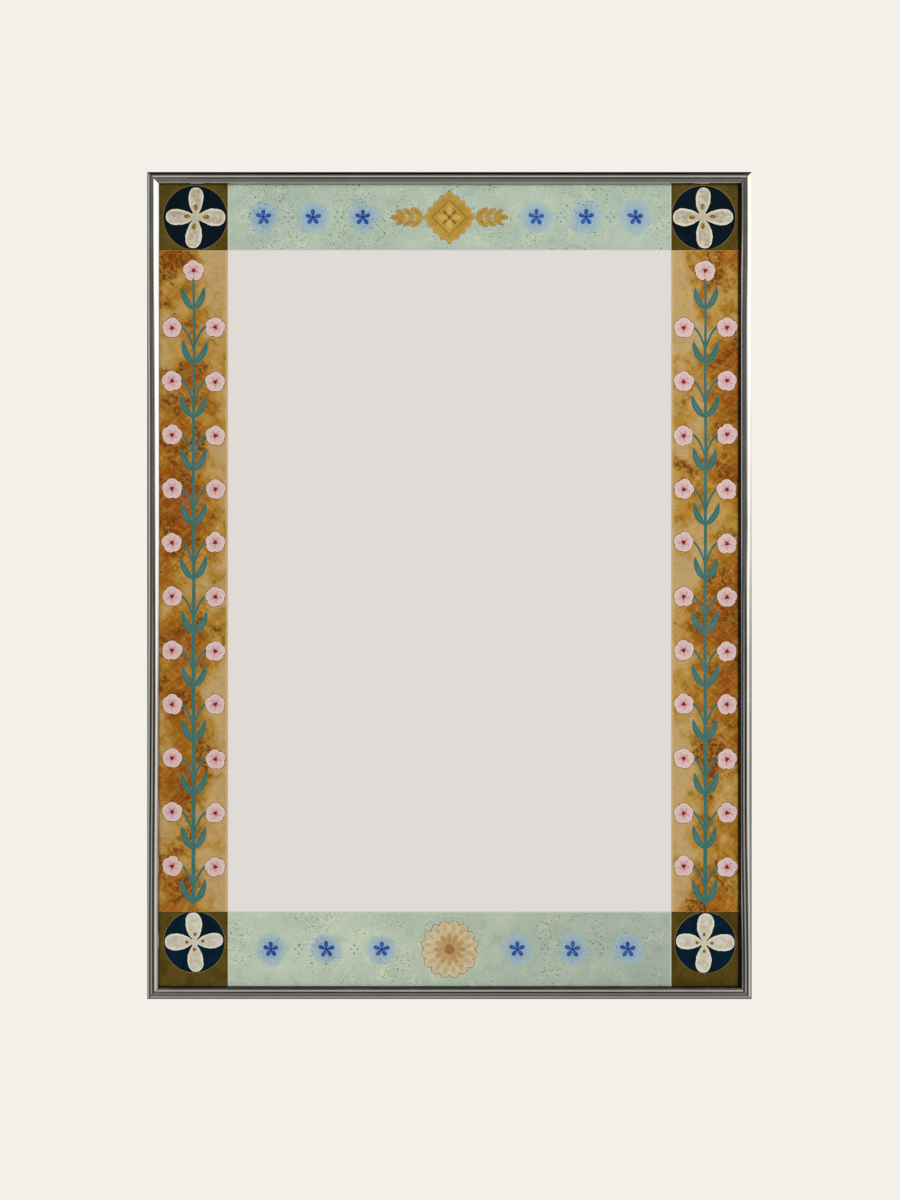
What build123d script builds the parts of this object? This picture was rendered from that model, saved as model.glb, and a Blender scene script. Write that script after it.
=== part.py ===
from build123d import *
import os

"""Wall mirror in a polished metal frame, with a border of separate painted glass panels.

Millimetres. X is the width, Z is up, and the front faces -Y. The origin is the middle of the wall
plane: y = 0 is the wall that the rear bumpers touch, x = 0 and z = 0 are the middle of the frame.
Left and right are those of someone who looks at the front.

Most sizes are placed by two distances: u, inwards from the frame's outer edge, and v, backwards from
the crown of the frame's half-round face.
"""

# ---- Driving dimensions ----

# The whole frame.
overall_width = 731.0
overall_height = 1000.0

# Frame rail: a hollow half-round face, an outer wall and a rear channel for the corner keys.
face_width = 15.0
face_rise = 6.5
face_wall = 1.4
lip_band = 1.0
lip_web = 1.2
outer_wall = 1.6
channel_wall = 1.4
channel_width = 11.4
channel_depth = 3.7
channel_slot = 5.5
rail_round = 0.4
mitre_gap = 0.2

# The pack: glass plates on tape on a board, pressed forwards by springs.
glass_thickness = 4.0
glass_arris = 0.6
glass_gap = 0.1
tape_thickness = 1.0
tape_width = 25.0
tape_margin = 20.0
mirror_tape_strips = 5
board_thickness = 9.0
pack_clearance = 1.0
spring_gap = 3.0

# The border, as it shows between the frame's lip and the mirror.
side_panel_show = 82.0
top_panel_show = 79.0
bottom_panel_show = 90.0

# Setting blocks under the pack.
block_length = 50.0
block_inset = 150.0
block_margin = 0.3

# Bowed spring clips.
clip_length = 60.0
clip_side_play = 1.2
clip_thickness = 0.5
clip_clearance = 0.05
side_clips = 3
end_clips = 2

# Corner keys, their shims and set screws.
key_leg = 34.0
key_thickness = 1.5
key_clearance = 0.3
shim_thickness = 1.0
set_screw_radius = 1.95
set_screw_fit = 0.05
set_screw_proud = 0.8
screws_per_leg = 2
driver_slot = 0.6
driver_depth = 0.9

# Strap hangers and D-rings.
hanger_inset = 70.0
hanger_drop = 170.0
strap_width = 14.0
strap_thickness = 1.6
strap_tail = 8.0
ring_wire_radius = 1.5
ring_fit = 0.08
ring_side_play = 0.3
ring_bend = 3.2
ring_arm = 4.0

# Hanger screws.
screw_radius = 1.75
screw_fit = 0.05
screw_cover = 2.6
screw_point = 2.0
screw_head_radius = 3.6
screw_head_height = 2.2
screw_head_round = 1.0
screw_hole_play = 0.3
pilot_extra = 0.5
screw_ring_gap = 6.0
screw_pitch = 18.0
cross_length = 3.8
cross_width = 0.9
cross_depth = 1.2

# Wall bumpers.
bumper_radius = 6.0
bumper_thickness = 2.0
bumper_round = 0.8
bumper_inset = 60.0

# ---- Places worked out from them ----

# Depths behind the crown of the face.
lip_back = face_rise + lip_band
glass_back = lip_back + glass_thickness
tape_back = glass_back + tape_thickness
board_back = tape_back + board_thickness
channel_front = board_back + spring_gap
channel_floor = channel_front + channel_wall
channel_lips = channel_floor + channel_depth
rail_back = channel_lips + channel_wall
total_depth = rail_back + bumper_thickness

# Distances inwards from the outer edge.
pack_edge = outer_wall + pack_clearance
channel_inner = outer_wall + channel_width
channel_middle = outer_wall + channel_width / 2
clip_width = channel_width - 2 * clip_side_play
key_near = outer_wall + key_clearance
key_far = channel_inner - key_clearance
key_tip = key_near + key_leg

# Half sizes and seams on the front.
half_width = overall_width / 2
half_height = overall_height / 2
seam_x = half_width - face_width - side_panel_show
seam_top = half_height - face_width - top_panel_show
seam_bottom = -(half_height - face_width - bottom_panel_show)
pack_x = half_width - pack_edge
pack_z = half_height - pack_edge

# Hangers.
knuckle_bore = ring_wire_radius + ring_fit
knuckle_radius = knuckle_bore + strap_thickness
ring_axis = board_back + knuckle_radius
ring_half = strap_width / 2 + ring_side_play + ring_bend
ring_reach = ring_bend + ring_arm + ring_half + ring_wire_radius
hanger_x = half_width - hanger_inset
hanger_z = half_height - hanger_drop
screw_first = ring_reach + screw_ring_gap + screw_head_radius
screw_drops = [screw_first, screw_first + screw_pitch]
strap_length = screw_first + screw_pitch + strap_tail
screw_length = strap_thickness + board_thickness - screw_cover
pilot_radius = screw_radius + screw_fit
strap_hole_radius = screw_radius + screw_hole_play

# A turn about Y carries what is drawn for the bottom to each side, and what is drawn for the
# bottom left corner to each corner.
side_turns = {"bottom": 0, "left": 90, "top": 180, "right": -90}
corner_turns = {"bottom_left": 0, "top_left": 90, "top_right": 180, "bottom_right": -90}
side_reach = {"bottom": half_height, "left": half_width, "top": half_height, "right": half_width}
side_length = {
    "bottom": overall_width,
    "left": overall_height,
    "top": overall_width,
    "right": overall_height,
}


def depth(v):
    """The y of a distance v behind the crown of the face."""
    return v - total_depth


def slab(x0, x1, z0, z1, v0, v1):
    """A flat plate between two x, two z and two depths."""
    place = Pos((x0 + x1) / 2, (depth(v0) + depth(v1)) / 2, (z0 + z1) / 2)
    return place * Box(x1 - x0, v1 - v0, z1 - z0)


def rod(radius, v0, v1, x=0.0, z=0.0):
    """A round bar along Y between two depths."""
    place = Pos(x, (depth(v0) + depth(v1)) / 2, z) * Rot(90, 0, 0)
    return place * Cylinder(radius, v1 - v0)


def upright(outline, v0, v1):
    """A flat outline in X and Z, thickened between two depths."""
    plane = Plane(origin=(0, depth(v1), 0), x_dir=(1, 0, 0), z_dir=(0, -1, 0))
    return extrude(plane * outline, amount=v1 - v0)


def at_side(side, piece):
    """Carries a piece drawn for the bottom edge, which is z = 0, to a side of the frame."""
    return Rot(0, side_turns[side], 0) * Pos(0, 0, -side_reach[side]) * piece


def at_corner(corner, piece):
    """Carries a piece drawn for a bottom left corner at x = 0 and z = 0 to a corner of the frame."""
    x = -half_width if "left" in corner else half_width
    z = -half_height if "bottom" in corner else half_height
    return Pos(x, 0, z) * Rot(0, corner_turns[corner], 0) * piece


def group(solids):
    """Separate solids that share a node."""
    return Compound(children=[s for piece in solids for s in piece.solids()])


# ---- Frame ----


def rail_section():
    """The rail's section, with u to the right and v up."""
    near = 0.001
    middle = face_width / 2
    lip_front = lip_back - lip_web
    face = Pos(middle, face_rise) * Ellipse(middle, face_rise)
    face &= Pos(middle, face_rise / 2) * Rectangle(face_width, face_rise)
    face += Pos(middle, (face_rise + lip_back) / 2) * Rectangle(face_width, lip_band)
    hollow = Pos(middle, face_rise) * Ellipse(middle - face_wall, face_rise - face_wall)
    hollow &= Pos(middle, lip_front / 2) * Rectangle(face_width, lip_front)
    wall = Pos(outer_wall / 2, (face_rise + rail_back) / 2) * Rectangle(outer_wall, rail_back - face_rise)
    box_width = channel_inner + channel_wall
    box = Pos(box_width / 2, (channel_front + rail_back) / 2) * Rectangle(
        box_width, rail_back - channel_front
    )
    room = Pos(channel_middle, (channel_floor + channel_lips) / 2) * Rectangle(channel_width, channel_depth)
    slot = Pos(channel_middle, (channel_lips + rail_back) / 2) * Rectangle(channel_slot, channel_wall)
    section = face + wall + box - hollow - room - slot
    rounded = [(0, rail_back), (box_width, rail_back), (face_width, lip_back)]
    corners = [v for v in section.vertices() if any(abs(v.X - u) + abs(v.Y - w) < near for u, w in rounded)]
    return fillet(corners, rail_round)


def rail(length):
    """A rail along X with its outer edge on z = 0, cut at 45 degrees at both ends."""
    plane = Plane(origin=(0, depth(0), 0), x_dir=(0, 0, 1), z_dir=(-1, 0, 0))
    bar = extrude(plane * rail_section(), amount=length / 2, both=True)
    reach = 2 * face_width
    half = (length - mitre_gap * 2**0.5) / 2
    mitred = Polygon((-half, 0), (half, 0), (half - reach, reach), (-half + reach, reach), align=None)
    return bar & upright(mitred, 0, rail_back)


def corner_plate(v0, v1):
    """An L plate that lies in the rear channels of two rails, at a bottom left corner."""
    outline = Polygon(
        (key_near, key_near),
        (key_tip, key_near),
        (key_tip, key_far),
        (key_far, key_far),
        (key_far, key_tip),
        (key_near, key_tip),
        align=None,
    )
    return upright(outline, v0, v1)


def set_screw_places():
    """The set screws of a corner, evenly spaced along the free stretch of each leg."""
    pitch = (key_tip - key_far) / (screws_per_leg + 1)
    along = [key_far + (n + 1) * pitch for n in range(screws_per_leg)]
    return [(a, channel_middle) for a in along] + [(channel_middle, a) for a in along]


def corner_key():
    """The threaded L plate, which the screws lift against the channel's lips."""
    plate = corner_plate(channel_lips - key_thickness, channel_lips)
    for x, z in set_screw_places():
        plate -= rod(set_screw_radius + set_screw_fit, channel_floor, rail_back, x, z)
    return plate


def set_screws():
    """Headless screws through the key, standing on the shim."""
    foot = channel_floor + shim_thickness
    top = channel_lips + set_screw_proud
    screws = []
    for x, z in set_screw_places():
        screw = rod(set_screw_radius, foot, top, x, z)
        reach = 2 * set_screw_radius
        slot = slab(x - reach, x + reach, z - driver_slot / 2, z + driver_slot / 2, top - driver_depth, top)
        screws.append(screw - slot)
    return group(screws)


# ---- Pack ----


def glass(x0, x1, z0, z1):
    """A glass plate with its front edges eased."""
    plate = slab(x0, x1, z0, z1, lip_back, glass_back)
    front = plate.faces().sort_by(Axis.Y)[0]
    return chamfer(front.edges(), glass_arris)


def glass_spans():
    """The x and z spans of the mirror, the four border panels and the four corner tiles."""
    half_gap = glass_gap / 2
    columns = {
        "left": (-pack_x, -seam_x - half_gap),
        "middle": (-seam_x + half_gap, seam_x - half_gap),
        "right": (seam_x + half_gap, pack_x),
    }
    rows = {
        "bottom": (-pack_z, seam_bottom - half_gap),
        "middle": (seam_bottom + half_gap, seam_top - half_gap),
        "top": (seam_top + half_gap, pack_z),
    }
    spans = {"mirror_plate": columns["middle"] + rows["middle"]}
    for side in ("left", "right"):
        spans[f"panel_{side}"] = columns[side] + rows["middle"]
    for end in ("top", "bottom"):
        spans[f"panel_{end}"] = columns["middle"] + rows[end]
        for side in ("left", "right"):
            spans[f"corner_tile_{end}_{side}"] = columns[side] + rows[end]
    return spans


def tape(x0, x1, z0, z1):
    """A strip of double-sided tape between the glass and the board."""
    return slab(x0, x1, z0, z1, glass_back, tape_back)


def mirror_tape(span):
    """Upright strips, evenly spaced behind the mirror."""
    x0, x1, z0, z1 = span
    pitch = (x1 - x0) / mirror_tape_strips
    strips = []
    for n in range(mirror_tape_strips):
        x = x0 + (n + 0.5) * pitch
        strips.append(tape(x - tape_width / 2, x + tape_width / 2, z0 + tape_margin, z1 - tape_margin))
    return group(strips)


def border_tape(spans):
    """One strip along the middle of each border plate."""
    strips = []
    for x0, x1, z0, z1 in spans:
        x, z = (x0 + x1) / 2, (z0 + z1) / 2
        if x1 - x0 > z1 - z0:
            strips.append(tape(x0 + tape_margin, x1 - tape_margin, z - tape_width / 2, z + tape_width / 2))
        else:
            strips.append(tape(x - tape_width / 2, x + tape_width / 2, z0 + tape_margin, z1 - tape_margin))
    return group(strips)


def screw_places(side):
    """The two screws of a hanger."""
    x = -hanger_x if side == "left" else hanger_x
    return [(x, hanger_z - drop) for drop in screw_drops]


def backboard():
    """The board that fills the frame, with pilot holes for the hanger screws."""
    board = slab(-pack_x, pack_x, -pack_z, pack_z, tape_back, board_back)
    deep = board_thickness - screw_cover + pilot_extra
    for side in ("left", "right"):
        for x, z in screw_places(side):
            board -= rod(pilot_radius, board_back - deep, board_back, x, z)
    return board


def setting_blocks():
    """Two pads between the bottom rail's outer wall and the pack's lower edge."""
    blocks = []
    for side in (-1, 1):
        x = side * (half_width - block_inset)
        low = outer_wall - half_height
        v0, v1 = lip_back + block_margin, board_back - block_margin
        blocks.append(slab(x - block_length / 2, x + block_length / 2, low, low + pack_clearance, v0, v1))
    return group(blocks)


def spring_clip(x):
    """A bowed strip of spring steel along X, drawn for the bottom edge, between the board and the rail."""
    half = clip_length / 2
    low = depth(board_back)
    high = depth(channel_front) - clip_clearance
    arch = make_face(
        [
            ThreePointArc((x - half, low), (x, high - clip_thickness), (x + half, low)),
            Line((x + half, low), (x + half, low + clip_thickness)),
            ThreePointArc((x + half, low + clip_thickness), (x, high), (x - half, low + clip_thickness)),
            Line((x - half, low + clip_thickness), (x - half, low)),
        ]
    )
    strip = extrude(arch, amount=clip_width)
    return Pos(0, 0, channel_middle - clip_width / 2) * strip


def spring_clips(side):
    """The evenly spaced clips of one side."""
    count = side_clips if side in ("left", "right") else end_clips
    pitch = side_length[side] / count
    places = [(n + 0.5 - count / 2) * pitch for n in range(count)]
    return group([at_side(side, spring_clip(x)) for x in places])


# ---- Back ----


def hanger_strap(x):
    """A strap screwed to the board, with its upper end rolled into a knuckle."""
    half = strap_width / 2
    tail = hanger_z - strap_length + half
    knuckle = Pos(x, depth(ring_axis), hanger_z) * Rot(0, 90, 0) * Cylinder(knuckle_radius, strap_width)
    bore = Pos(x, depth(ring_axis), hanger_z) * Rot(0, 90, 0) * Cylinder(knuckle_bore, 2 * strap_width)
    strap = slab(x - half, x + half, tail, hanger_z, board_back, board_back + strap_thickness)
    strap += rod(half, board_back, board_back + strap_thickness, x, tail)
    strap = strap + knuckle - bore
    for drop in screw_drops:
        strap -= rod(strap_hole_radius, board_back, board_back + strap_thickness, x, hanger_z - drop)
    return strap


def d_ring(x):
    """A wire D whose straight leg turns in the knuckle, hanging down over the strap."""
    leg = ring_half - ring_bend
    arm_foot = -ring_bend - ring_arm
    path = Wire(
        [
            Line((0, 0), (leg, 0)),
            ThreePointArc((leg, 0), bend_middle(leg), (ring_half, -ring_bend)),
            Line((ring_half, -ring_bend), (ring_half, arm_foot)),
            ThreePointArc((ring_half, arm_foot), (0, arm_foot - ring_half), (-ring_half, arm_foot)),
            Line((-ring_half, arm_foot), (-ring_half, -ring_bend)),
            ThreePointArc((-ring_half, -ring_bend), mirrored(bend_middle(leg)), (-leg, 0)),
            Line((-leg, 0), (0, 0)),
        ]
    )
    wire = sweep(Plane.YZ * Circle(ring_wire_radius), path=path)
    return Pos(x, depth(ring_axis), hanger_z) * Rot(90, 0, 0) * wire


def bend_middle(leg):
    """The middle of the ring's upper right bend."""
    share = 0.5**0.5
    return (leg + ring_bend * share, -ring_bend * (1 - share))


def mirrored(point):
    """The same point on the other side of the ring."""
    return (-point[0], point[1])


def hanger_screw(x, z):
    """A cross-headed screw through the strap into the board."""
    seat = board_back + strap_thickness
    top = seat + screw_head_height
    head = rod(screw_head_radius, seat, top, x, z)
    head = fillet(head.faces().sort_by(Axis.Y)[-1].edges(), screw_head_round)
    shank = rod(screw_radius, seat - screw_length + screw_point, seat, x, z)
    tip_middle = depth(seat - screw_length + screw_point / 2)
    tip = Pos(x, tip_middle, z) * Rot(90, 0, 0) * Cone(screw_radius, screw_radius / 4, screw_point)
    half, slim = cross_length / 2, cross_width / 2
    cross = slab(x - half, x + half, z - slim, z + slim, top - cross_depth, top)
    cross += slab(x - slim, x + slim, z - half, z + half, top - cross_depth, top)
    return head + shank + tip - cross


def wall_bumper(x, z):
    """A rubber disc on the back of a side rail."""
    disc = rod(bumper_radius, rail_back, rail_back + bumper_thickness, x, z)
    return fillet(disc.faces().sort_by(Axis.Y)[-1].edges(), bumper_round)


def wall_bumpers():
    """Four bumpers near the corners."""
    x = half_width - channel_middle
    z = half_height - bumper_inset
    return group([wall_bumper(sx * x, sz * z) for sx in (-1, 1) for sz in (-1, 1)])


# ---- Nodes ----


def build():
    """Every node's shape, by name."""
    nodes = {}
    for side in side_turns:
        nodes[f"rail_{side}"] = at_side(side, rail(side_length[side]))
        nodes[f"spring_clips_{side}"] = spring_clips(side)
    for corner in corner_turns:
        nodes[f"corner_key_{corner}"] = at_corner(corner, corner_key())
        shim = corner_plate(channel_floor, channel_floor + shim_thickness)
        nodes[f"key_shim_{corner}"] = at_corner(corner, shim)
        nodes[f"set_screws_{corner}"] = at_corner(corner, set_screws())

    spans = glass_spans()
    for name, span in spans.items():
        nodes[name] = glass(*span)
    nodes["mirror_tape"] = mirror_tape(spans["mirror_plate"])
    nodes["panel_tape"] = border_tape([s for n, s in spans.items() if n.startswith("panel")])
    nodes["corner_tile_tape"] = border_tape([s for n, s in spans.items() if n.startswith("corner")])
    nodes["backboard"] = backboard()
    nodes["setting_blocks"] = setting_blocks()

    for side, x in (("left", -hanger_x), ("right", hanger_x)):
        nodes[f"hanger_strap_{side}"] = hanger_strap(x)
        nodes[f"d_ring_{side}"] = d_ring(x)
        nodes[f"hanger_screws_{side}"] = group([hanger_screw(*place) for place in screw_places(side)])
    nodes["wall_bumpers"] = wall_bumpers()
    return nodes


os.makedirs("parts", exist_ok=True)
for node, shape in build().items():
    export_step(shape, f"parts/{node}.step")
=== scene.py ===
import bpy
import bmesh
import math
import random
from functools import partialmethod
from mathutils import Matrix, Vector


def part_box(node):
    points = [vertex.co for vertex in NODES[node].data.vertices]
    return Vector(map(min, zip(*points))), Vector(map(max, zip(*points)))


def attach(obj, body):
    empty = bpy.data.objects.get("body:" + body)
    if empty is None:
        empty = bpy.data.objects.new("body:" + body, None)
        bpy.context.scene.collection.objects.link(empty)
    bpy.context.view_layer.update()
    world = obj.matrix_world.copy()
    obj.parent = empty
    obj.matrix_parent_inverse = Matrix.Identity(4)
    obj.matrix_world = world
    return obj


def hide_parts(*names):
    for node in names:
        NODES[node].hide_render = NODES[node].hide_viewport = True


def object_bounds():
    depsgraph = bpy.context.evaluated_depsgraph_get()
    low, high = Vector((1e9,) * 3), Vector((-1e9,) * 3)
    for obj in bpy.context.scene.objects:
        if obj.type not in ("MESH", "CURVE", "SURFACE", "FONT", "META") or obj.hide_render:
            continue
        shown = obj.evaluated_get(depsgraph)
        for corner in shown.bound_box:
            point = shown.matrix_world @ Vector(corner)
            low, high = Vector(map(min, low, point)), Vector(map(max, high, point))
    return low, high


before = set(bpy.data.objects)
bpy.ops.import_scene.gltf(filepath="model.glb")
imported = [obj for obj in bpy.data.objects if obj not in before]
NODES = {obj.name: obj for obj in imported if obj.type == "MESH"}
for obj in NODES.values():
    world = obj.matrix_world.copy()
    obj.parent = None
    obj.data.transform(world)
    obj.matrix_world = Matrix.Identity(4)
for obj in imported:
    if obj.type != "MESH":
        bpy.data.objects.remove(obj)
CAD_LOW, CAD_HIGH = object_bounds()
MM = 0.001


def millimetres(value):
    return round(value / MM, 2)


def seam(node, other, axis):
    """The middle of the gap between two nodes, of which the first lies lower along the axis."""
    return millimetres((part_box(node)[1][axis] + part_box(other)[0][axis]) / 2)


# Sizes in millimetres. The outline, the depths and the seams are read from the frame.
HALF_W, HALF_H = millimetres(CAD_HIGH[0]), millimetres(CAD_HIGH[2])
DEPTH = millimetres(-CAD_LOW[1])
GLASS = millimetres(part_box("mirror_plate")[0][1] - CAD_LOW[1])
BACK = millimetres(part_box("rail_left")[1][1] - CAD_LOW[1])
SEAM_X = seam("mirror_plate", "panel_right", 0)
SEAM_TOP = seam("mirror_plate", "panel_top", 2)
SEAM_BOTTOM = seam("panel_bottom", "mirror_plate", 2)

# The rail's section, as in the part's source. u runs inwards from the frame's outer edge, v backwards
# from the crown.
FACE, RISE = 15.0, 6.5
WALL, CHANNEL, BOX = 1.6, 13.0, 14.4
SLOT = (4.55, 10.05)
CHANNEL_FRONT, CHANNEL_FLOOR, CHANNEL_LIPS = 24.5, 25.9, 29.6
ROUND = 0.4
MITRE_GAP = 0.2
CROWN_STEPS, RAIL_STEPS = 72, 48

# Places on the front: the frame's inner lip, the middles of the strips and side panels, and how far from
# the middle the blue flowers stand.
LIP_X, LIP_Z = HALF_W - FACE, HALF_H - FACE
TOP_Z = (SEAM_TOP + LIP_Z) / 2
BOTTOM_Z = (SEAM_BOTTOM - LIP_Z) / 2
SIDE_X = (SEAM_X + LIP_X) / 2
TOP_FLOWERS = (105.0, 165.0, 225.0)
BOTTOM_FLOWERS = (82.0, 149.0, 216.0)

# How far the skirt of a stroke of paint goes into the glass.
SUNK = 0.04

# A turn in radians, and the reach of random phases.
TURN, PHASES = 6.283, 6.28

# In metres, well below the part.
FLOOR_Z = -1.2


# ---- Nodes ----


def rgb(r, g, b):
    """A colour of 0 to 255 as linear light."""
    shares = [c / 255 for c in (r, g, b)]
    return tuple(c / 12.92 if c <= 0.04045 else ((c + 0.055) / 1.055) ** 2.4 for c in shares) + (1.0,)


PALE = rgb(243, 240, 233)


class Graph:
    """The nodes of a world or a material. What goes into a node is a value or another node's output."""

    def __init__(self, owner):
        owner.use_nodes = True
        self.tree = owner.node_tree
        self.tree.nodes.clear()

    def link(self, output, entry):
        self.tree.links.new(output, entry)

    def put(self, kind, values=None, **settings):
        node = self.tree.nodes.new("ShaderNode" + kind)
        for key, value in settings.items():
            setattr(node, key, value)
        for key, value in (values or {}).items():
            if isinstance(value, bpy.types.NodeSocket):
                self.link(value, node.inputs[key])
            else:
                node.inputs[key].default_value = value
        return node

    def calc(self, how, a, b=0.0, c=0.0):
        return self.put("Math", {0: a, 1: b, 2: c}, operation=how).outputs[0]

    add = partialmethod(calc, "ADD")
    sub = partialmethod(calc, "SUBTRACT")
    mul = partialmethod(calc, "MULTIPLY")
    div = partialmethod(calc, "DIVIDE")
    mul_add = partialmethod(calc, "MULTIPLY_ADD")
    max = partialmethod(calc, "MAXIMUM")
    min = partialmethod(calc, "MINIMUM")
    abs = partialmethod(calc, "ABSOLUTE")

    def ease(self, value, low, high, start=0.0, end=1.0):
        """A smooth step from start, where the value is low, to end, where it is high."""
        values = {0: value, 1: low, 2: high, 3: start, 4: end}
        return self.put("MapRange", values, interpolation_type="SMOOTHSTEP").outputs[0]

    def blend(self, factor, a, b, mode="MIX"):
        return self.put("Mix", {0: factor, 6: a, 7: b}, data_type="RGBA", blend_type=mode).outputs[2]

    def coat(self, base, field, low, high, amount, colour):
        """An (r, g, b) of 0 to 255 over a base, from none where the field is low to an amount."""
        return self.blend(self.ease(field, low, high, 0.0, amount), base, rgb(*colour))

    def between(self, factor, a, b):
        return self.put("Mix", {0: factor, 2: a, 3: b}).outputs[0]

    def noise(self, scale, detail=3.0, rough=0.55, warp=0.0, at=None):
        """Noise over the material's own coordinates, or over others."""
        values = {"Vector": at or self.place, "Scale": scale, "Detail": detail, "Roughness": rough,
                  "Distortion": warp}
        return self.put("TexNoise", values).outputs[0]

    def stretch(self, scale, shift=(0, 0, 0), turn=0.0, of=None):
        """Coordinates, the material's own unless others are given, turned about Y, scaled and moved."""
        place = of or self.place
        if turn:
            place = self.put("Mapping", {0: place, "Rotation": (0, turn, 0)}).outputs[0]
        return self.put("Mapping", {0: place, "Location": shift, "Scale": scale}).outputs[0]

    def ramp(self, factor, stops):
        """A ramp of grey levels, given as (place, level)."""
        node = self.put("ValToRGB", {0: factor})
        points = node.color_ramp.elements
        while len(points) < len(stops):
            points.new(0.5)
        for point, (place, level) in zip(points, stops):
            point.position = place
            point.color = (level, level, level, 1)
        return node.outputs[0]

    def split(self, place):
        return self.put("SeparateXYZ", {0: place}).outputs


class Finish(Graph):
    """A material with one principled shader, whose coordinates are in metres."""

    def __init__(self, name, metallic=0.0, roughness=0.5, specular=0.5):
        self.material = bpy.data.materials.new(name)
        super().__init__(self.material)
        values = {"Metallic": metallic, "Roughness": roughness, "Specular IOR Level": specular}
        self.shader = self.put("BsdfPrincipled", values)
        self.out = self.put("OutputMaterial")
        self.link(self.shader.outputs[0], self.out.inputs[0])
        self.place = self.put("TexCoord").outputs["Object"]

    def set(self, entry, output):
        self.link(output, self.shader.inputs[entry])

    def bump(self, height, strength, distance):
        node = self.put("Bump", {"Height": height, "Strength": strength, "Distance": distance})
        self.set("Normal", node.outputs[0])


# ---- World, light, camera and floor ----


def angle_ramp(g, angle, stops):
    """Levels by an angle from -180 to 180 degrees."""
    share = g.div(g.add(angle, 180.0), 360.0)
    peak = max(level for _, level in stops)
    grey = g.ramp(share, [((a + 180) / 360, level / peak) for a, level in stops])
    return g.mul(grey, peak)


def studio(g, x, y, z):
    """What polished metal mirrors: upright and level stripes straight ahead, a soft dome elsewhere."""
    front = g.mul(y, -1.0)
    degrees = 180 / math.pi
    pitch = g.mul(g.calc("ARCTAN2", z, front), degrees)
    yaw = g.mul(g.calc("ARCTAN2", x, front), degrees)
    rise = g.mul(g.calc("ARCSINE", z), degrees)
    across, upward = g.abs(x), g.abs(z)

    # Seen in the top and bottom rails.
    level = angle_ramp(g, pitch, [
        (-180, 0.03), (-150, 0.05), (-125, 0.22), (-108, 0.33), (-92, 0.4), (-82, 0.52), (-70, 0.6),
        (-62, 0.4), (-56, 0.1), (-48, 0.08), (-42, 0.15), (-36, 0.38), (-26, 0.4), (-20, 0.2), (-12, 0.16),
        (0, 0.18), (8, 0.16), (13, 0.3), (17, 0.7), (22, 0.88), (32, 0.88), (37, 0.45), (43, 0.18),
        (56, 0.16), (62, 0.02), (118, 0.0), (140, 0.02), (180, 0.02)])

    # Seen in the side rails: one row of stripes above the middle, another below it, and a window.
    upper = angle_ramp(g, yaw, [
        (-180, 0.0), (-106, 0.0), (-97, 0.35), (-89, 0.95), (-71, 1.05), (-64, 0.5), (-57, 0.2),
        (-46, 0.14), (-30, 0.13), (-17, 0.17), (-9, 0.42), (0, 0.58), (12, 0.6), (22, 0.66), (34, 0.72),
        (60, 0.5), (130, 0.46), (180, 0.4)])
    lower = angle_ramp(g, yaw, [
        (-180, 0.0), (-132, 0.03), (-114, 0.4), (-94, 0.7), (-76, 0.75), (-67, 0.45), (-58, 0.06),
        (-48, 0.02), (-38, 0.05), (-29, 0.2), (-22, 0.7), (-12, 0.75), (-4, 0.4), (2, 0.1), (8, 0.05),
        (17, 0.05), (25, 0.22), (31, 0.38), (37, 0.85), (50, 0.75), (68, 0.72), (80, 0.58), (92, 0.38),
        (125, 0.36), (180, 0.3)])
    fall = g.sub(rise, g.ease(yaw, -8, 12, 0.0, 2.9))
    stripes = g.between(g.ease(fall, 0.8, -3.2), upper, lower)
    leaning = g.mul_add(g.max(rise, -3.0), 1.5, yaw)
    opening = g.mul(g.ease(leaning, 28, 48), g.ease(yaw, 150, 128))
    near = g.ease(rise, -10, 4, 0.35, 1.75)
    wide = g.ease(rise, -4, 6, 0.0, 1.5)
    shine = g.between(g.ease(yaw, 50, 72), near, wide)
    stripes = g.mul_add(opening, shine, stripes)

    # The level stripes lie above and below, the upright ones at the sides.
    lead = g.div(g.sub(upward, across), g.add(upward, across))
    grey = g.between(g.ease(lead, -0.2, 0.25), stripes, level)

    # A dark screen straight ahead, as wide and high as the mirror can show it.
    screen_yaw, screen_pitch = 5.8, 8.9
    beside = g.max(g.sub(g.abs(yaw), screen_yaw), g.sub(g.abs(pitch), screen_pitch))
    grey = g.between(g.ease(beside, 0.0, 2.5, 1.0, 0.0), grey, 0.05)

    # The soft dome, and where it takes over from the stripes.
    dome = g.mul(g.ease(z, -0.8, 0.9, 0.45, 1.1), g.ease(x, -0.9, 0.9, 0.85, 1.15))
    band = g.mul(g.ease(z, 0.12, 0.26), g.ease(z, 0.62, 0.5))
    dome = g.mul_add(band, 0.55, dome)
    striped = g.max(g.ease(upward, 0.19, 0.27, 1.0, 0.0), g.ease(across, 0.14, 0.2, 1.0, 0.0))
    striped = g.mul(striped, g.ease(y, 0.95, 0.99, 1.0, 0.0))
    return g.between(striped, dome, grey)


def make_world():
    """Pale to the camera, plain on matt surfaces and in the mirror, a striped studio in metal."""
    world = bpy.data.worlds.new("studio")
    bpy.context.scene.world = world
    g = Graph(world)
    x, y, z = g.split(g.put("TexCoord").outputs["Generated"])
    warm = g.blend(1.0, studio(g, x, y, z), (1.0, 0.985, 0.95, 1), "MULTIPLY")
    ray = g.put("LightPath").outputs
    seen = g.max(ray["Is Camera Ray"], ray["Is Transmission Ray"])
    plain = g.blend(seen, (0.78, 0.78, 0.78, 1), PALE)
    colour = g.blend(ray["Is Glossy Ray"], plain, warm)
    sharp = g.mul(ray["Is Glossy Ray"], ray["Is Singular Ray"])
    colour = g.blend(sharp, colour, rgb(232, 226, 221))
    shade = g.put("Background", {"Color": colour, "Strength": 1.0})
    g.put("OutputWorld", {0: shade.outputs[0]})


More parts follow.
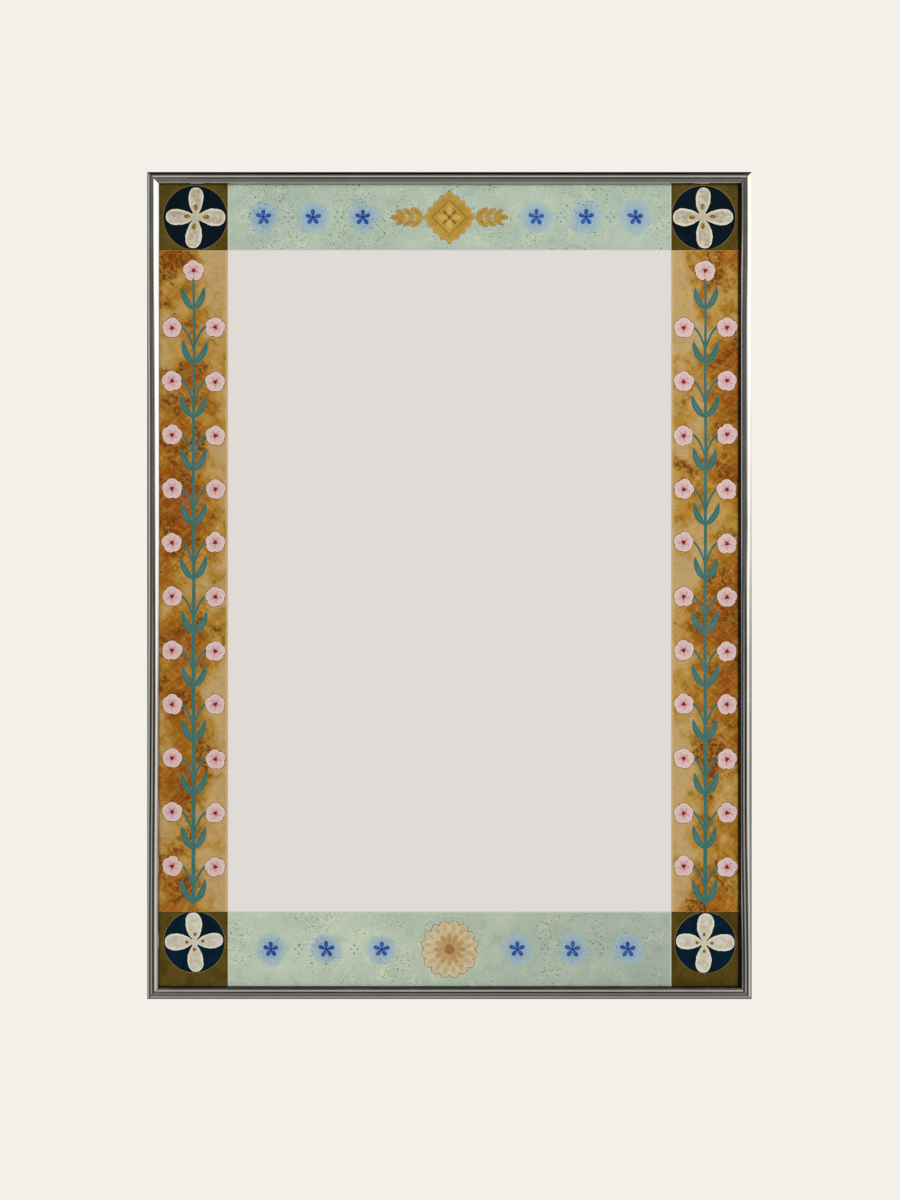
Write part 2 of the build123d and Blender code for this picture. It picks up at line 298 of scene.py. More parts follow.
def lamp(name, place, width, height, radiance):
    """An area lamp of an even radiance, aimed at the middle of the part and not seen in gloss."""
    data = bpy.data.lights.new(name, "AREA")
    data.shape = "RECTANGLE"
    data.size, data.size_y = width, height
    data.energy = radiance * math.pi * width * height
    ob = bpy.data.objects.new(name, data)
    bpy.context.collection.objects.link(ob)
    ob.location = place
    ob.rotation_euler = (-Vector(place)).to_track_quat("-Z", "Y").to_euler()
    ob.visible_glossy = False
    ob.visible_camera = False


def make_floor():
    """A pale round floor under the part, which fades out into the background."""
    mesh = bpy.data.meshes.new("floor")
    reach, rings, segments = 1.85, 24, 96
    turns = [2 * math.pi * m / segments for m in range(segments)]
    points = [(0, 0, 0)]
    for k in range(1, rings + 1):
        r = reach * k / rings
        points += [(r * math.cos(t), r * math.sin(t), 0) for t in turns]
    faces = [(0, 1 + m, 1 + (m + 1) % segments) for m in range(segments)]
    for k in range(1, rings):
        a, b = 1 + (k - 1) * segments, 1 + k * segments
        faces += [(a + m, b + m, b + (m + 1) % segments, a + (m + 1) % segments) for m in range(segments)]
    mesh.from_pydata(points, [], faces)
    floor = bpy.data.objects.new("floor", mesh)
    bpy.context.collection.objects.link(floor)
    floor.location = (0, 0, FLOOR_Z)
    floor.visible_glossy = False
    g = Finish("floor_pale", 0.0, 0.9, 0.1)
    g.shader.inputs["Base Color"].default_value = PALE
    radius = g.put("VectorMath", {0: g.place}, operation="LENGTH").outputs["Value"]
    seen = g.put("LightPath").outputs["Is Camera Ray"]
    glow = g.put("Emission", {"Color": PALE, "Strength": 1.0}).outputs[0]
    clear = g.put("BsdfTransparent").outputs[0]
    lit = g.put("MixShader", {0: g.mul(seen, 0.55), 1: g.shader.outputs[0], 2: glow}).outputs[0]
    faded = g.put("MixShader", {0: g.ease(radius, 0.9, 1.8), 1: lit, 2: clear}).outputs[0]
    g.link(faded, g.out.inputs[0])
    floor.data.materials.append(g.material)


def make_camera():
    """Looks level and straight at the front."""
    data = bpy.data.cameras.new("camera")
    data.sensor_width, data.lens = 36.0, 74.42
    data.clip_end = 50
    camera = bpy.data.objects.new("camera", data)
    bpy.context.collection.objects.link(camera)
    camera.location = (0.0006, -3.0265, -0.0175)
    camera.rotation_euler = (math.pi / 2, 0, 0)
    bpy.context.scene.camera = camera


# ---- Materials of the frame and the plates ----


def frame_metal():
    """Polished nickel silver with long fine scratches, grime in the mitres and painted shade along the lip.

    The walls and the back are satin, and a painted highlight lies inside the left rail's crown.
    """
    g = Finish("frame_metal", 1.0, 0.1)
    strip = g.put("TexCoord").outputs["UV"]
    x, y, z = g.split(g.place)

    # u is how far in from the frame's outer edge a place lies, ux and uz as on an upright or level rail.
    ux = g.sub(HALF_W * MM, g.abs(x))
    uz = g.sub(HALF_H * MM, g.abs(z))
    upright = g.calc("LESS_THAN", ux, uz)
    u = g.min(ux, uz)
    mitre = g.ease(g.abs(g.sub(ux, uz)), 0.0007, 0.0002)

    # A painted highlight: a pale, matt band in the upper half of the left rail's crown, for a bright
    # reflection.
    left = g.mul(upright, g.calc("LESS_THAN", x, 0.0))
    painted_highlight = g.mul(g.ease(u, 0.0127, 0.0131), g.ease(u, 0.0146, 0.0142))
    painted_highlight = g.mul(painted_highlight, g.mul(left, g.ease(z, -0.18, 0.1)))
    painted_highlight = g.mul(painted_highlight, g.ease(y, -0.0250, -0.0258))

    # Painted shade along the lip: none at the left, little at the top, most at the right and below.
    sides = g.ease(x, -0.01, 0.01)
    ends = g.ease(z, -0.01, 0.01, 0.95, 0.12)
    weight = g.between(upright, ends, sides)
    deeper = g.ease(g.abs(z), 0.37, 0.45, 0.0003, 0.0014)
    inset = g.mul_add(g.mul(upright, sides), deeper, u)
    lip_shade = g.mul(g.ease(inset, 0.0126, 0.0140), weight)

    satin = g.ease(y, (GLASS - DEPTH - 0.8) * MM, (GLASS - DEPTH + 0.2) * MM)
    scratch = g.noise(1.0, 2.0, at=g.stretch((30, 5200, 1), of=strip))
    cloud = g.noise(26.0, 4.0)
    fine = g.noise(420.0, 3.0)
    tone = g.blend(g.ease(cloud, 0.3, 0.75), (0.50, 0.49, 0.455, 1), (0.545, 0.53, 0.495, 1))
    tone = g.blend(satin, tone, (0.62, 0.61, 0.58, 1))
    # Grime in the mitres and the painted shade along the lip darken the metal together.
    mitre_grime_and_lip_shade = g.mul(g.max(g.mul(mitre, 0.75), lip_shade), g.ease(fine, 0.2, 0.5, 0.85, 1.0))
    # The painted highlight is pale and not metallic.
    tone = g.blend(painted_highlight, tone, (0.92, 0.92, 0.90, 1))
    g.set("Base Color", g.blend(mitre_grime_and_lip_shade, tone, (0.02, 0.019, 0.016, 1)))
    g.set("Metallic", g.mul_add(satin, -0.4, g.sub(1.0, painted_highlight)))
    rough = g.between(satin, g.ease(cloud, 0.3, 0.8, 0.07, 0.14), g.ease(fine, 0.3, 0.7, 0.26, 0.36))
    g.set("Roughness", g.mul_add(mitre_grime_and_lip_shade, 0.4, rough))
    ripple = g.noise(1.0, 1.0, at=g.stretch((9, 60, 1), of=strip))
    height = g.mul_add(ripple, 6.0, scratch)

    # The bottom rail leans by a few degrees, and the side rails are bent along their length. A relief of
    # half an angle's height for each metre across the rail turns what it reflects by that angle.
    turn_level = g.ease(z, 0.01, -0.01, 0.0, -12.0)
    turn_left = g.add(g.ease(z, 0.16, 0.46, -5.0, 15.0), g.ease(z, -0.1, -0.42, 0.0, 20.0))
    turn_right = g.add(g.ease(z, 0.3, 0.44, 0.0, -16.0), g.ease(z, 0.07, -0.02, 0.0, 12.0))
    turn_right = g.add(turn_right, g.ease(z, -0.26, -0.48, 0.0, -33.0))
    turn = g.between(upright, turn_level, g.between(left, turn_right, turn_left))
    lever_x = g.mul(ux, g.calc("SIGN", x))
    lever_z = g.mul(uz, g.calc("SIGN", z))
    tilt = g.mul(g.mul(g.between(upright, lever_z, lever_x), math.radians(0.5)), turn)
    bent = g.put("Bump", {"Height": tilt, "Strength": 1.0, "Distance": 1.0}).outputs[0]
    relief = {"Height": height, "Strength": 0.12, "Distance": 0.00004, "Normal": bent}
    g.set("Normal", g.put("Bump", relief).outputs[0])
    return g.material


def eased_edge(g):
    """1 on the eased edges and the sides of a plate, 0 on its face."""
    facing = g.split(g.put("NewGeometry").outputs["Normal"])["Y"]
    return g.ease(facing, -0.97, -0.85)


def mirror_silver():
    """Silvered glass: a clear even mirror, with pale ground edges."""
    g = Finish("mirror_silver", 1.0, 0.0)
    edge = eased_edge(g)
    haze = g.noise(5.0, 2.0)
    tone = g.blend(g.ease(haze, 0.3, 0.7), (0.925, 0.925, 0.925, 1), (0.935, 0.935, 0.935, 1))
    g.set("Base Color", g.blend(edge, tone, rgb(226, 219, 210)))
    g.set("Metallic", g.sub(1.0, edge))
    g.set("Roughness", g.mul(edge, 0.6))
    return g.material


def lip_line(g, x, z, colour):
    """Paints the lip's shadow on a plate: darker along the lip, most at the right and below."""
    right = g.ease(x, (LIP_X - 3.0) * MM, (LIP_X - 1.0) * MM, 0.0, 0.85)
    low = g.ease(z, (1.0 - LIP_Z) * MM, (0.2 - LIP_Z) * MM, 0.0, 0.8)
    high = g.ease(z, (LIP_Z - 1.1) * MM, (LIP_Z - 0.1) * MM, 0.0, 0.3)
    shade = g.max(right, g.max(low, high))
    return g.blend(shade, colour, (0.008, 0.007, 0.005, 1))


def arris(g, colour, edge_colour):
    """Gives a plate's eased edges and sides another colour, a pale painted highlight on the sage and ochre
    plates.
    """
    return g.blend(eased_edge(g), colour, edge_colour)


def wash(g, x, z, centre_z, flowers, wobble):
    """How far a place is from the nearest of a row of flowers, with an uneven edge."""
    first, pitch = flowers[0] * MM, (flowers[1] - flowers[0]) * MM
    away = g.abs(x)
    step = g.calc("ROUND", g.div(g.sub(away, first), pitch))
    step = g.min(g.max(step, 0.0), len(flowers) - 1)
    dx = g.sub(away, g.mul_add(step, pitch, first))
    dz = g.sub(z, centre_z * MM)
    far = g.calc("SQRT", g.add(g.mul(dx, dx), g.mul(dz, dz)))
    return g.mul_add(g.sub(wobble, 0.5), 0.012, far)


def sage_ground():
    """Pale sage paint: soft mottling, uneven dark flecks and the wash behind the blue flowers."""
    g = Finish("sage_glass", 0.0, 0.32, 0.1)
    x, _, z = g.split(g.place)
    cloud = g.noise(12.0, 4.0, 0.6, 0.4)
    patch = g.noise(52.0, 5.0, 0.7)
    grain = g.noise(600.0, 2.0)
    base = g.blend(g.ease(cloud, 0.34, 0.66), rgb(172, 189, 170), rgb(182, 197, 178))
    base = g.coat(base, patch, 0.5, 0.7, 0.75, (199, 208, 186))
    base = g.coat(base, patch, 0.48, 0.3, 0.7, (158, 176, 161))
    base = g.coat(base, grain, 0.35, 0.8, 0.3, (150, 165, 148))
    # Painted light on the bottom strip: lighter at the left, making up for the key lamp's fall-off
    # towards the bottom, and darker at the right.
    painted_shading = g.blend(g.ease(x, -0.22, 0.25), (1.17, 1.12, 1.1, 1), (0.885, 0.86, 0.88, 1))
    base = g.blend(g.ease(z, 0.1, -0.1), base, painted_shading, "MULTIPLY")
    wobble = g.noise(70.0, 2.0)
    far = g.min(wash(g, x, z, TOP_Z, TOP_FLOWERS, wobble), wash(g, x, z, BOTTOM_Z, BOTTOM_FLOWERS, wobble))
    thin = g.ease(patch, 0.3, 0.7, 0.75, 1.0)
    outer = g.mul(g.ease(far, 0.0212, 0.0168, 0.0, 0.82), thin)
    core = g.mul(g.ease(far, 0.0165, 0.006, 0.0, 0.7), thin)
    base = g.blend(outer, base, rgb(152, 180, 192))
    base = g.blend(core, base, rgb(126, 156, 192))
    sparse = g.ease(g.noise(26.0, 2.0), 0.4, 0.6)
    fleck = g.ease(g.noise(440.0, 1.5, 0.5, 0.6, at=g.stretch((1, 1, 1.7))), 0.615, 0.675)
    dust = g.ease(g.noise(1000.0, 1.0, at=g.stretch((1.3, 1, 1), (3, 0, 1))), 0.67, 0.74, 0.0, 0.6)
    marks = g.mul(g.max(fleck, dust), g.ease(sparse, 0.0, 1.0, 0.15, 0.95))
    base = g.blend(marks, base, rgb(60, 66, 48))
    # A painted highlight: a pale band along the strip's ends by the seams, and pale eased edges.
    end = g.ease(g.abs(x), (SEAM_X - 2.4) * MM, (SEAM_X - 0.8) * MM, 0.0, 0.6)
    base = g.blend(end, base, rgb(208, 212, 200))
    # Painted shadow of the frame's lip along the strip's edges.
    base = lip_line(g, x, z, base)
    g.set("Base Color", arris(g, base, rgb(206, 211, 198)))
    g.set("Roughness", g.ease(patch, 0.2, 0.8, 0.26, 0.4))
    g.bump(patch, 0.08, 0.0003)
    return g.material


def ochre_ground():
    """Ochre paint, brushed and dabbed: pale along the mirror, amber and burnt sienna further out."""
    g = Finish("ochre_glass", 0.0, 0.32, 0.05)
    x, _, z = g.split(g.place)
    away = g.abs(x)
    left = g.ease(x, 0.1, -0.1)
    inner, outer = SEAM_X * MM, LIP_X * MM
    streak = g.noise(58.0, 4.0, 0.6, 0.5, at=g.stretch((1, 1, 0.7), (0, 0, 2), 0.8))
    cloud = g.noise(17.0, 3.0, 0.5, 0.5, at=g.stretch((1, 1, 0.8)))
    patch = g.noise(34.0, 4.0, 0.6, 0.5, at=g.stretch((1, 1, 1), (4, 0, 2)))
    mottle = g.noise(120.0, 5.0, 0.72, 0.2, at=g.stretch((1, 1, 1), (1, 0, 5)))
    grain = g.noise(460.0, 3.0, 0.65)

    # How hot the colour is: least along the mirror, most in the outer half.
    slope = g.ease(away, inner, inner + 0.052, -0.3, 0.14)
    slope = g.add(slope, g.ease(away, outer - 0.022, outer, 0.0, 0.06))
    # Paler towards the left lip: partly the paint's own tone, partly painted light.
    slope = g.sub(slope, g.mul(left, g.ease(away, outer - 0.018, outer, 0.03, 0.22)))
    height = g.ease(g.abs(z), 0.08, 0.3, 0.04, -0.03)
    top_right = g.mul(g.ease(x, -0.1, 0.1), g.ease(z, 0.22, 0.36, 0.0, -0.32))
    heat = g.add(g.add(slope, height), g.add(top_right, 0.52))
    for field, share in ((cloud, 1.7), (streak, 0.75), (patch, 0.7), (mottle, 0.35)):
        heat = g.mul_add(g.sub(field, 0.5), share, heat)
    base = g.blend(g.ease(heat, 0.18, 0.32), rgb(190, 160, 108), rgb(182, 145, 78))
    base = g.coat(base, heat, 0.34, 0.45, 1.0, (175, 128, 46))
    base = g.coat(base, heat, 0.5, 0.6, 1.0, (163, 102, 20))
    base = g.coat(base, heat, 0.68, 0.8, 1.0, (145, 74, 7))
    olive = g.mul(g.ease(patch, 0.53, 0.62), g.ease(streak, 0.46, 0.56))
    olive = g.mul(olive, g.ease(heat, 0.3, 0.45, 0.15, 0.65))
    base = g.blend(olive, base, rgb(146, 114, 32))
    hot = g.ease(heat, 0.34, 0.58, 0.15, 1.0)
    for shift, turn in ((0, 0.9), (6, -0.8)):
        bristle = g.noise(260.0, 3.0, 0.6, 0.3, at=g.stretch((1, 1, 0.2), (shift, 0, 7), turn))
        base = g.blend(g.mul(g.ease(bristle, 0.5, 0.64, 0.0, 0.26), hot), base, rgb(118, 66, 14))
        base = g.coat(base, bristle, 0.48, 0.34, 0.22, (204, 160, 76))
    cluster = g.noise(30.0, 3.0, 0.6, 0.4, at=g.stretch((1, 1, 0.9), (9, 0, 3)))
    dab = g.noise(230.0, 4.0, 0.72, 0.6, at=g.stretch((1, 1, 0.8), (2, 0, 8), 0.6))
    rub = g.mul(g.ease(cluster, 0.49, 0.58), g.ease(dab, 0.46, 0.54))
    base = g.blend(g.mul(rub, g.mul(hot, 0.85)), base, rgb(96, 46, 12))
    base = g.coat(base, grain, 0.47, 0.7, 0.2, (112, 66, 20))
    base = g.coat(base, grain, 0.45, 0.28, 0.22, (208, 172, 104))
    # A painted highlight: a pale band along the seam with the mirror.
    rim = g.ease(away, (SEAM_X + 3.4) * MM, (SEAM_X + 1.6) * MM, 0.0, 0.4)
    base = g.blend(rim, base, rgb(206, 184, 136))
    # Painted shadow of the frame's lip along the panel's edges.
    base = lip_line(g, x, z, base)
    # The eased edges are painted pale as a highlight, palest at the plate's ends.
    middle, length = (SEAM_TOP + SEAM_BOTTOM) / 2, SEAM_TOP - SEAM_BOTTOM
    at_end = g.ease(g.abs(g.sub(z, middle * MM)), (length - 3) / 2 * MM, (length - 1) / 2 * MM)
    edge = g.blend(at_end, rgb(206, 188, 142), rgb(182, 156, 104))
    g.set("Base Color", arris(g, base, edge))
    g.set("Roughness", g.ease(mottle, 0.2, 0.8, 0.26, 0.42))
    g.bump(mottle, 0.1, 0.0003)
    return g.material


def olive_ground():
    """Olive brown paint with faint rusty clouds."""
    g = Finish("olive_glass", 0.0, 0.34, 0.04)
    x, _, z = g.split(g.place)
    cloud = g.noise(40.0, 4.0, 0.6, 0.5)
    mottle = g.noise(190.0, 4.0, 0.65)
    base = g.blend(g.ease(cloud, 0.38, 0.62), rgb(80, 65, 18), rgb(97, 79, 26))
    base = g.coat(base, mottle, 0.5, 0.72, 0.45, (106, 80, 32))
    base = g.coat(base, mottle, 0.5, 0.32, 0.5, (66, 54, 15))
    dim = g.mul(g.ease(z, 0.1, -0.1), g.ease(x, -0.1, 0.1, 0.25, 1.0))
    base = g.blend(dim, base, (0.8, 0.78, 0.74, 1), "MULTIPLY")
    # Painted shadow of the frame's lip along the tile's edges.
    base = lip_line(g, x, z, base)
    g.set("Base Color", arris(g, base, rgb(66, 50, 14)))
    g.bump(mottle, 0.1, 0.0003)
    return g.material


# The paints, with colours of 0 to 255: the main and the other tone, then, if not the usual ones, the rim's
# colour, the grain, the contrast, how strong the rim is, the scale of the patches and the heart's colour.
PAINTS = {
    "olive_ring": ((132, 114, 72), (104, 86, 46)),
    "black": ((10, 12, 12), (20, 20, 20)),
    "navy": ((5, 23, 35), (3, 16, 25), None, 120.0, 0.9),
    "deep_navy": ((1, 32, 50), (1, 22, 35), None, 120.0, 0.9),
    "cream": ((206, 200, 182), (152, 140, 112), (224, 218, 200), 230.0, 1.0, 0.8, 110.0, (190, 178, 150)),
    "white": ((212, 208, 192), (176, 168, 146), (224, 220, 206), 230.0, 1.0, 0.8, 110.0, (200, 192, 170)),
    "umber": ((134, 100, 46), (112, 80, 34)),
    "flax": ((186, 150, 80), (170, 134, 66)),
    "blue": ((28, 70, 150), (64, 106, 176), None, 300.0, 0.8),
    "indigo": ((14, 50, 116), (30, 66, 132)),
    "ink": ((52, 74, 108), (70, 94, 124)),
    "slate": ((96, 132, 184), (118, 150, 190)),
    "gold": ((188, 152, 66), (164, 126, 50), (198, 164, 88), 260.0, 0.9, 0.7, 34.0),
    "straw": ((202, 172, 94), (184, 150, 72)),
    "tan": ((158, 118, 66), (138, 98, 52)),
    "moon": ((202, 188, 152), (178, 154, 108), (214, 204, 174), 300.0, 0.8),
    "sand": ((188, 158, 108), (166, 128, 76), (204, 180, 136), 300.0, 0.8),
    "teal": ((56, 106, 94), (74, 118, 118), None, 200.0, 0.9, 0.8, 44.0),
    "mint": ((104, 146, 128), (92, 134, 122)),
    "bark": ((122, 80, 42), (92, 56, 28)),
    "pink": ((216, 188, 184), (206, 172, 170), (230, 208, 200), 240.0, 0.7, 0.8, 60.0, (200, 160, 158)),
    "rose": ((184, 142, 138), (170, 122, 118)),
    "red": ((150, 30, 42), (120, 22, 34)),
}


def paint(name, main, other, rim=None, grain=300.0, contrast=0.6, rim_amount=0.8, patches=60.0, heart=None):
    """Hand laid paint: two mixed tones with brush grain, and if asked for a rim and a heart of their own."""
    g = Finish("paint_" + name, 0.0, 0.5, 0.04)
    strip = g.put("TexCoord").outputs["UV"]
    cloud = g.noise(patches, 3.0)
    hair = g.noise(1.0, 3.0, at=g.stretch((5, 26, 1), of=strip))
    speck = g.noise(grain, 3.0, 0.65)
    mixed = g.add(g.add(g.mul(cloud, 0.4), g.mul(hair, 0.25)), g.mul(speck, 0.35))
    colour = g.blend(g.ease(mixed, 0.38, 0.64, 0.0, contrast), rgb(*main), rgb(*other))
    if heart or rim:
        u, v, _ = g.split(strip)
    if heart:
        root = g.ease(g.mul_add(g.sub(hair, 0.5), 0.3, u), 0.2, 0.62, 0.85, 0.0)
        colour = g.blend(root, colour, rgb(*heart))
    if rim:
        edge = g.abs(g.sub(v, 0.5))
        edge = g.max(g.ease(edge, 0.32, 0.43), g.ease(u, 0.9, 0.965))
        edge = g.mul(edge, g.ease(speck, 0.3, 0.55, 0.5, 1.0))
        colour = g.blend(g.mul(edge, rim_amount), colour, rgb(*rim))
    g.set("Base Color", colour)
    g.set("Roughness", g.ease(speck, 0.2, 0.8, 0.42, 0.6))
    g.bump(hair, 0.15, 0.0001)


# ---- Materials of the back ----


def plain_back(name, main, other, scale, metallic=0.0, rough=(0.4, 0.6), lumps=0.1):
    """A finish of two mixed tones, (r, g, b) of 0 to 255, with a fine relief."""
    g = Finish(name, metallic, rough[0], 0.4)
    wide = g.noise(scale, 4.0, 0.6)
    fine = g.noise(scale * 9, 3.0, 0.6)
    mixed = g.add(g.mul(wide, 0.5), g.mul(fine, 0.5))
    g.set("Base Color", g.blend(g.ease(mixed, 0.36, 0.64), rgb(*main), rgb(*other)))
    g.set("Roughness", g.ease(fine, 0.3, 0.7, *rough))
    g.bump(fine, lumps, 0.0002)
    return g.material


def fibreboard():
    """Brown fibreboard: matted fibres with pale and dark flecks, and a few scuffs."""
    g = Finish("fibreboard", 0.0, 0.85, 0.2)
    wide = g.noise(9.0, 3.0, 0.5)
    felt = g.noise(130.0, 5.0, 0.75, 0.6)
    fibre = g.noise(420.0, 4.0, 0.7, 1.2, at=g.stretch((1, 1, 2.6), (0, 0, 0), 0.35))
    cross = g.noise(380.0, 4.0, 0.7, 1.0, at=g.stretch((2.4, 1, 1), (7, 0, 0), 0.35))
    fleck = g.noise(700.0, 1.0)
    scuff = g.noise(16.0, 4.0, 0.6, 0.3, at=g.stretch((1, 1, 9), (2, 0, 0), 0.9))
    base = g.blend(g.ease(wide, 0.35, 0.65), rgb(154, 123, 89), rgb(160, 129, 95))
    base = g.coat(base, felt, 0.5, 0.68, 0.6, (180, 150, 113))
    base = g.coat(base, felt, 0.5, 0.34, 0.6, (132, 102, 70))
    base = g.coat(base, fibre, 0.44, 0.66, 0.55, (190, 163, 126))
    base = g.coat(base, cross, 0.48, 0.7, 0.6, (108, 78, 51))
    base = g.coat(base, fleck, 0.68, 0.75, 0.75, (70, 48, 32))
    base = g.coat(base, scuff, 0.66, 0.78, 0.2, (196, 172, 138))
    g.set("Base Color", base)
    g.bump(fibre, 0.25, 0.0002)
    return g.material


# ---- Shapes ----


def link_mesh(name, points, faces, uvs, angle=180.0, closed=False):
    """A smooth mesh from points in millimetres. Edges sharper than the angle stay sharp."""
    mesh = bpy.data.meshes.new(name)
    mesh.from_pydata([(x * MM, y * MM, z * MM) for x, y, z in points], [], faces)
    layer = mesh.uv_layers.new(name="along")
    for loop in mesh.loops:
        layer.data[loop.index].uv = uvs[loop.vertex_index]
    work = bmesh.new()
    work.from_mesh(mesh)
    if closed:
        bmesh.ops.recalc_face_normals(work, faces=work.faces)
    for face in work.faces:
        face.smooth = True
    for edge in work.edges:
        if len(edge.link_faces) == 2 and edge.calc_face_angle() > math.radians(angle):
            edge.smooth = False
    work.to_mesh(mesh)
    work.free()
    ob = bpy.data.objects.new(name, mesh)
    bpy.context.collection.objects.link(ob)
    return ob


def polar(x, z, angle, reach):
    """The point at an angle in degrees and a distance from (x, z)."""
    return x + reach * math.cos(math.radians(angle)), z + reach * math.sin(math.radians(angle))


def corner_arc(cu, cv, radius, start, end, steps=5):
    """Points of a rounded corner, between two angles in degrees."""
    return [polar(cu, cv, start + (end - start) * k / steps, radius) for k in range(steps + 1)]


def lengths(points):
    """How far along a line of (x, y) each of its points lies."""
    run = [0.0]
    for (ax, ay), (bx, by) in zip(points, points[1:]):
        run.append(run[-1] + math.hypot(bx - ax, by - ay))
    return run


def rail_outline():
    """The rail's section as a closed loop of (u, v)."""
    near, far = SLOT
    loop = [(0.0, GLASS)]
    for k in range(CROWN_STEPS + 1):
        t = math.pi * k / CROWN_STEPS
        loop.append((FACE / 2 * (1 - math.cos(t)), RISE * (1 - math.sin(t))))
    loop += corner_arc(FACE - ROUND, GLASS - ROUND, ROUND, 0, 90)
    loop += [(WALL, GLASS), (WALL, CHANNEL_FRONT), (BOX, CHANNEL_FRONT)]
    loop += corner_arc(BOX - ROUND, BACK - ROUND, ROUND, 0, 90)
    loop += [(far, BACK), (far, CHANNEL_LIPS), (CHANNEL, CHANNEL_LIPS), (CHANNEL, CHANNEL_FLOOR)]
    loop += [(WALL, CHANNEL_FLOOR), (WALL, CHANNEL_LIPS), (near, CHANNEL_LIPS), (near, BACK)]
    loop += corner_arc(ROUND, BACK - ROUND, ROUND, 90, 180)
    return loop


def make_rail(side, material):
    """A mitred rail on one side of the frame."""
    loop = rail_outline()
    reach = HALF_W if side in ("left", "right") else HALF_H
    half = (HALF_H if side in ("left", "right") else HALF_W) - MITRE_GAP / 2 * math.sqrt(2)
    run = lengths(loop)
    points, uvs, faces = [], [], []
    for i in range(RAIL_STEPS + 1):
        for (u, v), length in zip(loop, run):
            s = (half - u) * (2 * i / RAIL_STEPS - 1)
            t = u - reach
            x, z = {"bottom": (s, t), "top": (-s, -t), "left": (t, -s), "right": (-t, s)}[side]
            points.append((x, v - DEPTH, z))
            uvs.append((s * MM, length * MM))
    count = len(loop)
    for i in range(RAIL_STEPS):
        for k in range(count):
            n = (k + 1) % count
            a, b = i * count, (i + 1) * count
            faces.append((a + k, a + n, b + n, b + k))
    faces.append(tuple(range(count)))
    faces.append(tuple(RAIL_STEPS * count + k for k in reversed(range(count))))
    rail = link_mesh(f"frame_rail_{side}", points, faces, uvs, 32, True)
    rail.data.materials.append(material)
    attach(rail, "mirror")
    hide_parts(f"rail_{side}")


class Strokes:
    """Raised paint of one colour on one plate, gathered into one mesh."""

    def __init__(self, seed, level=0.0):
        self.dice = random.Random(seed)
        self.level = level
        self.points, self.faces, self.uvs = [], [], []

    def wobble(self, amount):
        """A smooth random share round 1, for a place from 0 to 1."""
        waves = [(self.dice.uniform(0.3, 1), k, self.dice.uniform(0, PHASES)) for k in (1, 2, 3, 5)]
        total = sum(a for a, _, _ in waves)
        return lambda t: 1 + amount * sum(a * math.sin(TURN * k * t + p) for a, k, p in waves) / total

    def stroke(self, spine, width, rise=0.16, across=8, rough=0.07):
        """A domed stroke along points (x, z), as wide as width(t) says, for t from 0 to 1 by length."""
        left, right = self.wobble(rough), self.wobble(rough)
        first, count = len(self.points), len(spine)
        run = lengths(spine)
        for i, (x, z) in enumerate(spine):
            t = run[i] / run[-1]
            ax, az = spine[max(i - 1, 0)]
            bx, bz = spine[min(i + 1, count - 1)]
            size = math.hypot(bx - ax, bz - az) or 1.0
            nx, nz = -(bz - az) / size, (bx - ax) / size
            w = max(width(t), 0.02) / 2
            for j in range(-1, across + 2):
                s = 2 * min(max(j, 0), across) / across - 1
                reach = w * s * (left(t) if s > 0 else right(t))
                up = self.level + rise * math.sqrt(max(1 - s * s, 0)) * min(1, w / 0.8)
                up = up if 0 <= j <= across else -SUNK
                self.points.append((x + nx * reach, GLASS - DEPTH - up, z + nz * reach))
                self.uvs.append((t, (s + 1) / 2))
        for i in range(count - 1):
            for j in range(across + 2):
                a = first + i * (across + 3) + j
                b = a + across + 3
                self.faces.append((a, b, b + 1, a + 1))

    def blob(self, x, z, radius, rise=0.16, rings=5, segments=48, rough=0.02, shape=None, turn=0.0,
             within=None):
        """A domed round patch, whose outline shape(angle) may change.

        within is a (low, high) for x and for z.
        """
        edge = self.wobble(rough)
        first = len(self.points)
        self.points.append((x, GLASS - DEPTH - self.level - rise, z))
        self.uvs.append((0.0, 0.5))
        for k in range(1, rings + 2):
            share = min(k / rings, 1.0)
            for m in range(segments):
                t = 2 * math.pi * m / segments
                r = radius * share * edge(m / segments) * (shape(t) if shape else 1.0)
                up = self.level + rise * math.sqrt(1 - share**2)
                up = up if k <= rings else -SUNK
                at_x, at_z = x + r * math.cos(t + turn), z + r * math.sin(t + turn)
                if within:
                    at_x, at_z = (min(max(v, low), high) for v, (low, high) in zip((at_x, at_z), within))
                self.points.append((at_x, GLASS - DEPTH - up, at_z))
                self.uvs.append((share, 0.5))
        for m in range(segments):
            self.faces.append((first, first + 1 + m, first + 1 + (m + 1) % segments))
        for k in range(1, rings + 1):
            a, b = first + 1 + (k - 1) * segments, first + 1 + k * segments
            for m in range(segments):
                n = (m + 1) % segments
                self.faces.append((a + m, b + m, b + n, a + n))

    def petal(self, x, z, angle, start, end, width, rise=0.18, full=0.55, bend=0.0, steps=18, root=0.5,
              blunt=0.5, rough=0.07):
        """An oval petal or leaf from one radius to another about a point.

        It is widest at full. A root above 0.5 narrows its near end, and a blunt below 0.5 rounds its tip.
        """
        spine = []
        for i in range(steps + 1):
            t = (1 - math.cos(math.pi * i / steps)) / 2
            spine.append(polar(x, z, angle + bend * (t - 0.3), start + (end - start) * t))

        def profile(t):
            near = t < full
            share = t / full if near else (1 - t) / (1 - full)
            return width * max(1 - (1 - share) ** 2, 0.0) ** (root if near else blunt)

        self.stroke(spine, profile, rise, 8, rough)


def lay(prefix, slot, *rows):
    """Makes a piece of each row's strokes. A row also has the end of the piece's name, and its paint."""
    for work, what, name in rows:
        if work.points:
            ob = link_mesh(f"{prefix}_{what}", work.points, work.faces, work.uvs, 50)
            ob.data.materials.append(bpy.data.materials["paint_" + name])
            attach(ob, "mirror")


